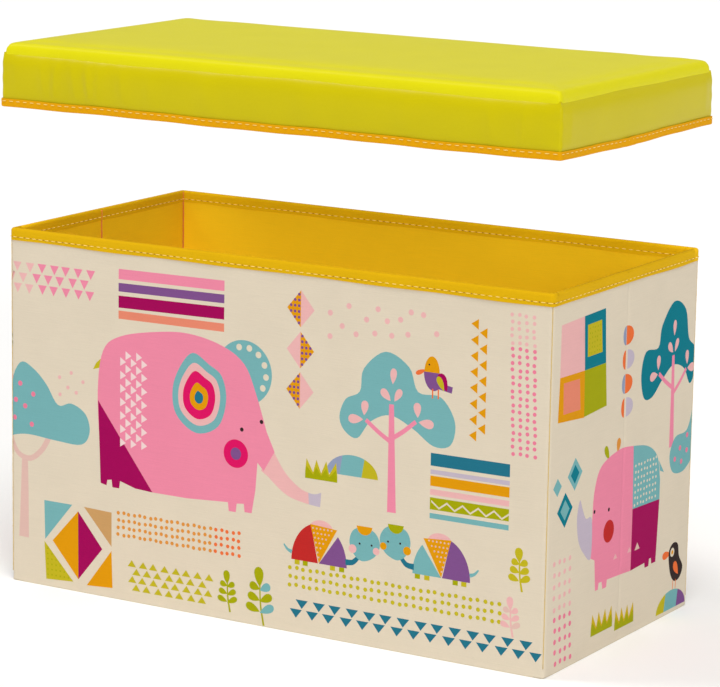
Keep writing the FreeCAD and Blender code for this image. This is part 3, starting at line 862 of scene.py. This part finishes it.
def rim_tape(name, u0, u1):
    """Tape folded over the rim, its lower edges a little wavy. Its ends reach just into the next pieces'."""
    def place(u, inset, z):
        low, loose = max(0.0, 1 - (z - TAPE_LOW) / 8), near_corner(u)
        wave = 0.35 * math.sin(u / 23) + 0.3 * math.sin(u / 61 + 1)
        puff = 0.25 * low * (1 + math.sin(u / 17 + inset))
        step = -puff if inset < TAPE_INSET / 2 else puff
        return on_box(u, inset + step * loose, z + low * wave * loose)
    profile = tape_profile(TAPE_LOW, RIM_TOP, TAPE_INSET, 0.7)
    return folded_tape(name, profile, columns(u0 - 0.5, u1 + 0.5, 9.0), place, TAPE_CLOTH)


def tube_faces(base, rings, sides):
    """Faces of a closed tube whose rings of points follow one another from base."""
    faces = []
    for start in range(base, base + (rings - 1) * sides, sides):
        for s in range(sides):
            nxt = (s + 1) % sides
            faces.append((start + s, start + nxt, start + sides + nxt, start + sides + s))
    last = base + (rings - 1) * sides
    return faces + [list(range(base, base + sides))[::-1], list(range(last, last + sides))]


def stitch_points(here, along, across, out, size):
    """Five rings of six points round a short rounded thread."""
    points = []
    for t in (-1, -0.5, 0, 0.5, 1):
        round_end = math.sqrt(max(0.08, 1 - t ** 4))
        for angle in SIXTHS:
            wide = math.cos(angle) * size[1] / 2 * round_end
            high = math.sin(angle) * size[2] * round_end + 0.25 * (1 - t * t)
            points.append(here + along * (t * size[0] / 2 * MM) + across * (wide * MM) + out * (high * MM))
    return points


def stitches(name, place, start, end, pitch, material, size=(4.6, 0.75, 0.45), hole_shades=True):
    """A row of machine stitches along place(u), each a small rounded thread with a small dark cone after it
    at its needle hole: painted shade for the hole.
    """
    count = max(1, int((end - start) / pitch))
    step = (end - start) / count
    points, faces, kinds = [], [], []
    for i in range(count):
        middle = start + (i + 0.5) * step
        here, out = place(middle)
        along = (place(middle + 0.5)[0] - here).normalized()
        across = out.cross(along)
        faces += tube_faces(len(points), 5, 6)
        points += stitch_points(here, along, across, out, size)
        kinds += [0] * (len(faces) - len(kinds))
        if hole_shades:
            # A dark cone just proud of the cloth: painted shade for the needle hole.
            base = len(points)
            hole, out = place(middle + step / 2)
            points += [hole + along * (0.8 * math.cos(a) * MM) + across * (0.55 * math.sin(a) * MM)
                       + out * 0.06 * MM for a in SIXTHS] + [hole + out * 0.16 * MM]
            faces += [(base + s, base + (s + 1) % 6, base + 6) for s in range(6)]
            kinds += [1] * 6
    obj = new_object(name, points, faces, material, NEEDLE_HOLE_SHADE)
    obj.data.polygons.foreach_set("material_index", kinds)
    return obj


def outward(point_at, u, inset, z):
    """A point on a wall and the way that its surface faces."""
    here, there = point_at(u, inset, z), point_at(u, inset - 1.0, z)
    return here, (there - here).normalized()


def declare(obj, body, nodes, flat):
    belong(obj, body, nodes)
    return obj


def wall(name, u0, u1, body, sides, folds=()):
    """One wall's cover, lining, rim tape and stitches, which stand for the named sides' and folds' nodes."""
    width, height = u1 - u0, RIM_TOP - COVER_LOW
    boards, covers, linings, tapes = ([f"{side}_{layer}" for side in sides]
                                      for layer in ("board", "cover", "lining", "rim_tape"))
    cover = printed_sheet(f"{name}_printed_cover", u0, u1, COVER_LOW - 0.1, RIM_TOP - 1.5)
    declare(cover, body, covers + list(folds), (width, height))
    lining, inside = lining_sheet(f"{name}_lining_cloth", u0, u1), path_length(u0, u1, LINING_INSET)
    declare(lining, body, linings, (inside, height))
    tape = rim_tape(f"{name}_rim_binding", u0, u1)
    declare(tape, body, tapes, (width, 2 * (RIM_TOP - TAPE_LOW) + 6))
    for part, inset in (("outer", -0.15), ("inner", TAPE_INSET + 0.15)):
        place = partial(rim_stitch, inset)
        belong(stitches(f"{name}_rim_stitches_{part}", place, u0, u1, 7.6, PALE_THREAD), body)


def rim_stitch(inset, u):
    """Where a stitch of the rim sits, and the way it faces."""
    here, out = outward(on_box, u, inset, TAPE_LOW + 3.4)
    return here, out if inset < 0 else -out


def fold_seam(name, u, inset, body, thick, material):
    """The sewn line down a corner or crease, as one thick twisted thread."""
    rows, sides = 60, 6
    points = []
    for z in np.linspace(COVER_LOW + 2, RIM_TOP - 1.5 if inset > LINING_INSET else TAPE_LOW, rows):
        middle = on_box(u, inset, z)
        for s in range(sides):
            angle = 2 * math.pi * s / sides + z / 6
            radius = thick * (1 + 0.17 * math.sin(z / 2.1 + s)) * MM
            points.append(middle + Vector((radius * math.cos(angle), radius * math.sin(angle), 0)))
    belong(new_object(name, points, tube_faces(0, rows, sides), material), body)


def make_walls():
    """The walls, anticlockwise from the front. A half wall's cloth runs on round the fold beside it."""
    turn, end, crease = HALF_Y - WRAP_Y, HALF_WALL_END, CREASE
    right, back, left = SIDE, 2 * SIDE, 3 * SIDE
    wall("front", end - SIDE, HALF_X + turn, "front", ["front"], ["front_left_fold"])
    wall("right_front", right - WRAP_Y, right - crease, ("front", "right_front", -WRAP_Y, -end),
         ["right_front"], ["front_right_fold"])
    wall("right_rear", right - crease, right + end, ("right_front", "right_rear", -crease, crease),
         ["right_rear"], ["right_middle_fold"])
    wall("back_right", right + end, right + HALF_Y + LAP, ("right_rear", "box", end, WRAP_Y),
         [], ["back_right_fold"])
    wall("back", back - HALF_X + LAP, back + HALF_X - LAP, "box", ["back"])
    wall("back_left", back + HALF_X - LAP, left - end, ("box", "left_rear", WRAP_Y, end),
         [], ["back_left_fold"])
    wall("left_rear", left - end, left + crease, ("left_rear", "left_front", crease, -crease),
         ["left_rear"], ["left_middle_fold"])
    wall("left_front", left + crease, left + end, "left_front", ["left_front"])
    for name, u, body in (("front_left", -HALF_X, "front"), ("front_right", HALF_X, "front"),
                          ("back_right", right + HALF_Y, "box"), ("back_left", left - HALF_Y, "box")):
        fold_seam(name + "_corner_seam", u, COVER_INSET - 0.2, body, 0.45, CORNER_THREAD)
    for name, u, deeper, body in (("back_left", left - HALF_Y, 0.7, "box"),
                                  ("back_right", right + HALF_Y, 0.7, "box"),
                                  ("left_crease", left + crease, 0.6, "left_front"),
                                  ("right_crease", right - crease, 0.6, "right_front")):
        fold_seam(name + "_lining_seam", u, LINING_INSET + deeper, body, 0.7, SEAM_THREAD)


# ---------------------------------------------------------------- the bottom

def level_cloth(name, node, thick, material, sag=0.0):
    """A level sheet with rounded corners at the top of a CAD node, and its flat size in millimetres."""
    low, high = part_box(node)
    half_x, half_y, z = high.x / MM, (high.y - low.y) / 2 / MM, high.z / MM
    corner, nx, ny = 4.0, 41, 21
    points = []
    for j in range(ny):
        for i in range(nx):
            x, y = half_x * (2 * i / (nx - 1) - 1), half_y * (2 * j / (ny - 1) - 1)
            dx, dy = max(0, abs(x) - half_x + corner), max(0, abs(y) - half_y + corner)
            reach = math.hypot(dx, dy)
            if reach > corner and dx and dy:
                x -= math.copysign(dx * (1 - corner / reach), x)
                y -= math.copysign(dy * (1 - corner / reach), y)
            soft = sag * (0.5 + 0.5 * math.sin(x / 70) * math.cos(y / 48))
            soft *= min(1, (half_x - abs(x)) / 25, (half_y - abs(y)) / 25)
            points.append(Vector((x, y, z + soft)) * MM)
    obj = sheet(name, points, grid_faces(nx, ny), material, thick)
    obj.location.y = (high.y + low.y) / 2
    return obj, (2 * half_x, 2 * half_y)


def squash_down(obj):
    """Gives the piece a mesh of its own."""
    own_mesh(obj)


def make_bottom():
    """Bottom cloth, its lining and the hems that join them to the walls."""
    bottom, flat = level_cloth("bottom_cloth_sheet", "bottom_cloth", 0.8, BOTTOM_CLOTH)
    hems = []
    for index, side in enumerate(SIDES):
        middle, reach = index * SIDE, (SIDE - WRAP_Y, WRAP_Y)[index % 2]
        low, high = HEM_LOW, COVER_LOW - 0.15
        hem = printed_sheet(f"{side}_hem_cloth", middle - reach, middle + reach, low, high, loose=0.0)
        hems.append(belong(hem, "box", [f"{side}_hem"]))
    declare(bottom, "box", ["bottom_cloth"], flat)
    lining, flat = level_cloth("bottom_lining_sheet", "bottom_lining", 0.5, LINING_CLOTH)
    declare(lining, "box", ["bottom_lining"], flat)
    for obj in (bottom, lining, hems[0], hems[1], hems[3]):
        squash_down(obj)


def make_base():
    """The folding base flap's cloth, its pull tab and the strip that hinges it."""
    top, flat = level_cloth("base_top_cloth", "base_cover_top", 0.5, LINING_CLOTH, sag=0.35)
    under, _ = level_cloth("base_under_cloth", "base_cover_under", 0.5, BOTTOM_CLOTH)
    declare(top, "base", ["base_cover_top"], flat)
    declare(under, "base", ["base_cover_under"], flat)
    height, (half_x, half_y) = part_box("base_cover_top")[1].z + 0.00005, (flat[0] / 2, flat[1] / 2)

    def around(u):
        x, y = ring(u, 7.0, half_x, half_y, 4.0)
        return Vector((x * MM, y * MM + top.location.y, height)), Vector((0, 0, 1))
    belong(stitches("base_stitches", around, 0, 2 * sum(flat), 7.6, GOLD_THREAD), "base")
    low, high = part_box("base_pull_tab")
    flat = (high.x - low.x) / MM, 2 * (high.y - low.y) / MM
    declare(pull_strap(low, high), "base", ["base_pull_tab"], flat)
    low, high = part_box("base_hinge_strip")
    points = [Vector((x, high.y - 0.0001 * (1 + math.sin(x * 60)), z)) for z in np.linspace(low.z, high.z, 6)
              for x in np.linspace(low.x, high.x, 60)]
    strip = sheet("base_hinge_cloth", points, grid_faces(60, 6), LINING_CLOTH, 0.4)
    flat = (high.x - low.x) / MM, (high.z - low.z) / MM
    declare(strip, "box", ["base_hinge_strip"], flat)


def pull_strap(low, high):
    """A folded webbing loop that lies on the base and lifts it."""
    rows, half = 24, (high.x - low.x) / 2
    points = [Vector((x * half, low.y + (high.y - low.y) * i / (rows - 1), low.z + lift))
              for lift in (0.00013, 0.00037) for i in range(rows) for x in (-1, -0.5, 0, 0.5, 1)]
    layer, above = grid_faces(5, rows), 5 * rows
    faces = layer + [tuple(v + above for v in face) for face in layer]
    faces += [(k, above + k, above + k + 1, k + 1) for k in range(4)]
    return sheet("base_pull_strap", points, faces, WEBBING, 0.2, 0.0)


# ---------------------------------------------------------------- the lid

def lid_columns(u0, u1, step):
    """Places along u round the lid, closer together round each corner."""
    return columns(u0, u1, step, LID_X, LID_Y, LID_CORNER)


def seam_height(u):
    """The lid's seam wanders a little up and down."""
    return LID_SEAM - 0.4 + 0.5 * math.sin(u / 58 + 0.8) + 0.25 * math.sin(u / 21)


# Where each crinkle of the lid's bands is along u, how wide and how tall it is, and how much it leans.
CRINKLES = ((-258, 5, 0.5, 0.12), (-238, 4, 0.8, -0.1), (-222, 5, 0.6, 0.15), (-204, 4, 0.9, 0.1),
            (-186, 5, 0.7, -0.15), (-165, 6, 0.6, 0.1), (-128, 8, 0.5, -0.1), (-70, 12, 0.6, 0.1),
            (40, 16, 0.5, 0.1), (150, 12, 0.5, -0.1), (232, 7, 0.5, 0.1), (270, 5, 0.5, -0.1))


def band_stand_off(u, z, u0, u1):
    """How far a lid band's cloth stands out, in millimetres: a bulge under the seam, crinkles and puckers."""
    below = seam_height(u) - z
    t = min(1.0, max(0.0, below / (LID_SEAM - LID_HEM_LOW)))
    edge = min(u - u0, u1 - u)
    fade = min(1, max(0.0, edge) / 18)
    tuck = (1.6 + 3.0 * fade) * math.exp(-max(0.0, below) / 6.0)
    bulge = 2.6 * (1 - math.exp(-below / 6.0)) * (1 - 0.4 * t)
    local = (u + LID_X) % (2 * LID_SIDE) - LID_X
    folds = sum(tall * math.exp(-((local - at + lean * (z - LID_SEAM)) / wide) ** 2)
                for at, wide, tall, lean in CRINKLES)
    pucker = 0.25 * math.exp(-abs(edge - 3) / 5) * math.sin(z / 2.4)
    free = 1 - math.exp(-max(0.0, z - LID_HEM_TOP - 0.5) / 7)
    return (bulge + 2.2 * folds * math.sin(math.pi * t)) * fade * free - tuck + pucker


def side_bow(u):
    """The short sides' skirts bow out a little towards their hem."""
    gap = abs(u % (2 * LID_SIDE) - LID_SIDE) / LID_Y
    return 3.0 * math.cos(gap * math.pi / 2) ** 2 if gap < 1 else 0.0


def lid_band(side, u0, u1):
    """Cloth skirt of one side of the lid, from the seam to the hem."""
    where = lid_columns(u0 - 0.6, u1 + 0.6, 2.0)
    rows = np.linspace(0, 1, 24) ** 0.8
    low = LID_HEM_LOW + 2
    points = []
    for share in rows:
        for u in where:
            z = low + (seam_height(u) - low) * share
            out = band_stand_off(u, z, u0, u1) + side_bow(u) * (1 - share) ** 1.5
            points.append(on_lid(u, 0.9 - out, z))
    # The skirt takes the darker copy of the lid's satin: painted shade.
    obj = sheet(f"lid_{side}_skirt_cloth", points, grid_faces(len(where), len(rows)), LID_SIDE_SHADED_CLOTH, 0.9)
    flat = u1 - u0, LID_SEAM - LID_HEM_LOW
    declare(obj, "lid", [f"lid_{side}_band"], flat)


def hem_place(u, inset, drop):
    """Point of the lid's hem, drop below its wavy top, which follows the skirt's bow."""
    z = LID_HEM_TOP - drop + 0.3 * math.sin(u / 37) + 0.2 * math.sin(u / 13)
    share = min(1.0, 1 - (z - LID_HEM_LOW) / (LID_SEAM - LID_HEM_LOW))
    return on_lid(u, inset - side_bow(u) * share ** 1.5, z)


def lid_hem_tape():
    """Tape folded over the skirt's lower edge, lapped on the right side."""
    start = LID_X + 0.42 * 2 * LID_Y
    end, lap = start + 4 * LID_SIDE, 9.0
    profile = tape_profile(0, LID_HEM_TOP - LID_HEM_LOW, 3.0, 0.6)
    where = sorted(lid_columns(start, end, 6.0) + [end + lap, end + lap + 0.4])

    def place(u, inset, drop):
        return hem_place(u, inset - 0.5 - (0.7 if u > end - 6 else 0.0), drop)
    obj = folded_tape("lid_hem_binding", profile, where, place, LID_TAPE)
    flat = end - start + lap, 2 * (LID_HEM_TOP - LID_HEM_LOW) + 3
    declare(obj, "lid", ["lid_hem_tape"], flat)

    def stitch(u):
        here = hem_place(u, -0.65, 2.2)
        return here, (hem_place(u, -1.65, 2.2) - here).normalized()
    row = stitches("lid_hem_stitches", stitch, start, end, 8.2, PALE_THREAD, (4.8, 0.7, 0.4), hole_shades=False)
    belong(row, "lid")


def rounded_slab(half_x, half_y, low, high, corner, edge):
    """Closed mesh of a slab with rounded corners in plan and a rounded top edge, in metres."""
    bm = bmesh.new()
    bmesh.ops.create_cube(bm, size=2)
    for v in bm.verts:
        v.co = Vector((v.co.x * half_x, v.co.y * half_y, low if v.co.z < 0 else high)) * MM
    upright = [e for e in bm.edges if abs(e.verts[0].co.z - e.verts[1].co.z) > 0.001]
    bmesh.ops.bevel(bm, geom=upright, offset=corner * MM, segments=6, affect="EDGES", profile=0.5)
    rim = [e for e in bm.edges if all(v.co.z > (high - 0.5) * MM for v in e.verts)]
    bmesh.ops.bevel(bm, geom=rim, offset=edge * MM, segments=6, affect="EDGES", profile=0.5)
    mesh = bpy.data.meshes.new("slab")
    bm.to_mesh(mesh)
    bm.free()
    return mesh


def swell(obj, still_below, cap):
    """Cloth simulation: pressure swells the pad's cloth, held below a height, by less than cap. In metres."""
    group = obj.vertex_groups.new(name="held")
    group.add([v.index for v in obj.data.vertices if v.co.z < still_below], 1.0, "REPLACE")
    start = np.array([v.co for v in obj.data.vertices])
    settings = obj.modifiers.new("Cloth", "CLOTH").settings
    settings.quality = 6
    settings.mass = 0.3
    settings.tension_stiffness = settings.compression_stiffness = 12
    settings.bending_stiffness = 0.6
    settings.use_pressure = True
    settings.uniform_pressure_force = 4.0
    settings.vertex_group_mass = "held"
    settings.effector_weights.gravity = 0.0
    for frame_number in range(1, 21):
        bpy.context.scene.frame_set(frame_number)
    ended = obj.evaluated_get(bpy.context.evaluated_depsgraph_get()).data
    moved = np.array([v.co for v in ended.vertices]) - start
    facing = np.array([v.normal for v in obj.data.vertices])
    out = np.maximum(np.sum(moved * facing, axis=1, keepdims=True), 0)
    out = cap * out / (cap + out)
    obj.modifiers.clear()
    obj.data.vertices.foreach_set("co", (start + out * facing).ravel())
    obj.data.update()
    bpy.context.scene.frame_set(1)


def eased(distance, reach):
    """0 at an edge and 1 from reach inwards."""
    return 1 - (1 - min(1.0, max(0.0, distance) / reach)) ** 3


def pad_shape(x, y, z):
    """Draws the pad's sides in between the corners, crowns its top and dents it softly."""
    from_x, from_y = LID_X - PAD_INSET - abs(x), LID_Y - PAD_INSET - abs(y)
    inset = min(from_x, from_y)
    if z > LID_SEAM:
        dent = 0.35 * noise.noise(Vector((x / 120, y / 80, 3.1))) + 0.25 * math.sin(x / 85 + y / 60)
        z += (dent - 1.2) * eased(24 - inset, 24) * 0.5 + dent * eased(inset - 30, 90)
    x -= math.copysign(2.8 * max(0.0, 1 - from_x / 20) * eased(from_y, 24), x)
    y -= math.copysign(2.8 * max(0.0, 1 - from_y / 20) * eased(from_x, 24), y)
    return Vector((x, y, z))


def lid_pad():
    """The foam pad in its satin cloth: drawn in and dented by formula, then swelled by simulation."""
    mesh = rounded_slab(LID_X - PAD_INSET, LID_Y - PAD_INSET, PAD_LOW + 0.3, LID_TOP, 4.0, 7.0)
    obj = bpy.data.objects.new("lid_pad_cushion", mesh)
    bpy.context.scene.collection.objects.link(obj)
    modified(obj, "REMESH", mode="VOXEL", voxel_size=4.5 * MM)
    modified(obj, "SMOOTH", iterations=2)
    for v in obj.data.vertices:
        v.co = pad_shape(*(v.co / MM)) * MM
    obj.data.update()
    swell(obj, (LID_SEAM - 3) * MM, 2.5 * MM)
    modified(obj, "SMOOTH", iterations=2)
    modified(obj, "SUBSURF", levels=1, render_levels=1)
    obj.data.polygons.foreach_set("use_smooth", [True] * len(obj.data.polygons))
    obj.data.materials.clear()
    obj.data.materials.append(LID_CLOTH)
    weave_uv(obj)
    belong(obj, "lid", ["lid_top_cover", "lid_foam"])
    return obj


def lid_inside():
    """The lid's lining and the lined inside of its skirt."""
    under, flat = level_cloth("lid_lining_cloth", "lid_lining", 0.6, LID_LINING)
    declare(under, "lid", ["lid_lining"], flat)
    rows = np.linspace(LID_HEM_LOW + 1, LID_UNDER, 9)

    def place(u, z):
        bow = side_bow(u) * (1 - (z - LID_HEM_LOW) / 48) ** 1.5
        return on_lid(u, 4.0 + 0.3 * math.sin(u / 19 + z / 9) - bow, z)
    for index, side in enumerate(SIDES):
        reach = (LID_X, LID_Y)[index % 2] - 3.2
        where = np.linspace(index * LID_SIDE - reach, index * LID_SIDE + reach, 60)
        points = [place(u, z) for z in rows for u in where]
        faces = grid_faces(len(where), len(rows), flip=True)
        obj = sheet(f"lid_{side}_skirt_inside", points, faces, LID_LINING, 0.5)
        flat, stiffener = (2 * reach, LID_UNDER - LID_HEM_LOW), f"lid_{side}_stiffener"
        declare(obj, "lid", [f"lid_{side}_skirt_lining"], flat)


def make_lid():
    """The pad, the four bands of the skirt, its hem and everything inside."""
    lid_pad()
    for index, side in enumerate(SIDES):
        reach = (LID_X, LID_Y)[index % 2]
        lid_band(side, index * LID_SIDE - reach, index * LID_SIDE + reach)
    lid_hem_tape()
    lid_inside()


# ---------------------------------------------------------------- boards and cards keep their CAD shapes

def dress_nodes():
    """The boards, cards and foam that show are the CAD's own solids."""
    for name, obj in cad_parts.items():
        material = FOAM if name.endswith("foam") else CARD if name.endswith("stiffener") else BOARD
        obj.data.materials.clear()
        obj.data.materials.append(material)


# ---------------------------------------------------------------- room, light and camera

def make_stage():
    """A plain pale floor."""
    floor = new_object("floor", [(-30, -30, 0), (30, -30, 0), (30, 30, 0), (-30, 30, 0)], [(0, 1, 2, 3)])
    floor.location.z = -0.0002
    n = Nodes("floor_paint", 0.9)
    grain = n.noise(n.add("ShaderNodeTexCoord").outputs["Object"], 3.0, 2.0)
    paint_colour = n.tint(linear(254, 254, 254), n.span(grain, 0.99, 1.01))
    floor.data.materials.append(n.finish(paint_colour, grain, 0.02, 0.001))
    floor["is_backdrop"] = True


def sun(name, power, spread, turn, colour=(1.0, 0.985, 0.96)):
    """A sun, its spread and its turn in degrees."""
    data = bpy.data.lights.new(name, "SUN")
    data.energy, data.angle, data.color = power, math.radians(spread), colour
    light = bpy.data.objects.new(name, data)
    light.rotation_euler = [math.radians(a) for a in turn]
    bpy.context.scene.collection.objects.link(light)
    return light


def make_light():
    """A white room and three soft suns, one of them for the roll of the lid's pad."""
    world = bpy.data.worlds.new("studio")
    bpy.context.scene.world = world
    world.use_nodes = True
    sky = world.node_tree.nodes["Background"]
    sky.inputs["Color"].default_value = (1.0, 1.0, 1.0, 1.0)
    sky.inputs["Strength"].default_value = 0.42
    sun("key", 1.38, 35, (25, 0, 40))
    sun("front", 0.7, 14, (72, 0, 45))
    sun("roll", 0.75, 16, (34, 0, -69))


def light_inside():
    """A sun for the box's inside alone: the photograph's box was lit without the lid's shade."""
    light = sun("inside", 1.85, 40, (50, 0, 25), (1.0, 1.0, 1.0))
    lit, shading = bpy.data.collections.new("lit_inside"), bpy.data.collections.new("shading_inside")
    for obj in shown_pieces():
        if obj.name.startswith("lid"):
            continue
        far_tape = obj.name.startswith(("back", "left")) and "rim" in obj.name
        if "lining" in obj.name or obj.name.startswith("base") or far_tape:
            lit.objects.link(obj)
        if obj.name.endswith("cover"):
            shading.objects.link(obj)
    light.light_linking.receiver_collection = lit
    light.light_linking.blocker_collection = shading


def make_camera():
    """The photograph's viewpoint: its direction, its lean and its distance, fitted to the box's corners."""
    azimuth, elevation, lean = (math.radians(a) for a in (30.914, 11.477, 0.941))
    data = bpy.data.cameras.new("camera")
    data.sensor_fit = "HORIZONTAL"
    data.sensor_width = 36.0
    data.lens = 166.15
    data.clip_end = 100.0
    camera = bpy.data.objects.new("camera", data)
    camera.location = (1.63692, -2.71551, 0.89411)
    level = Euler((math.pi / 2 - elevation, 0.0, azimuth)).to_matrix()
    camera.rotation_euler = (level @ Matrix.Rotation(lean, 3, "Z")).to_euler()
    bpy.context.scene.collection.objects.link(camera)
    bpy.context.scene.camera = camera
    bpy.context.scene.view_settings.view_transform = "Standard"


make_camera()
make_light()
make_stage()
dress_nodes()
make_walls()
make_bottom()
make_base()
make_lid()
light_inside()
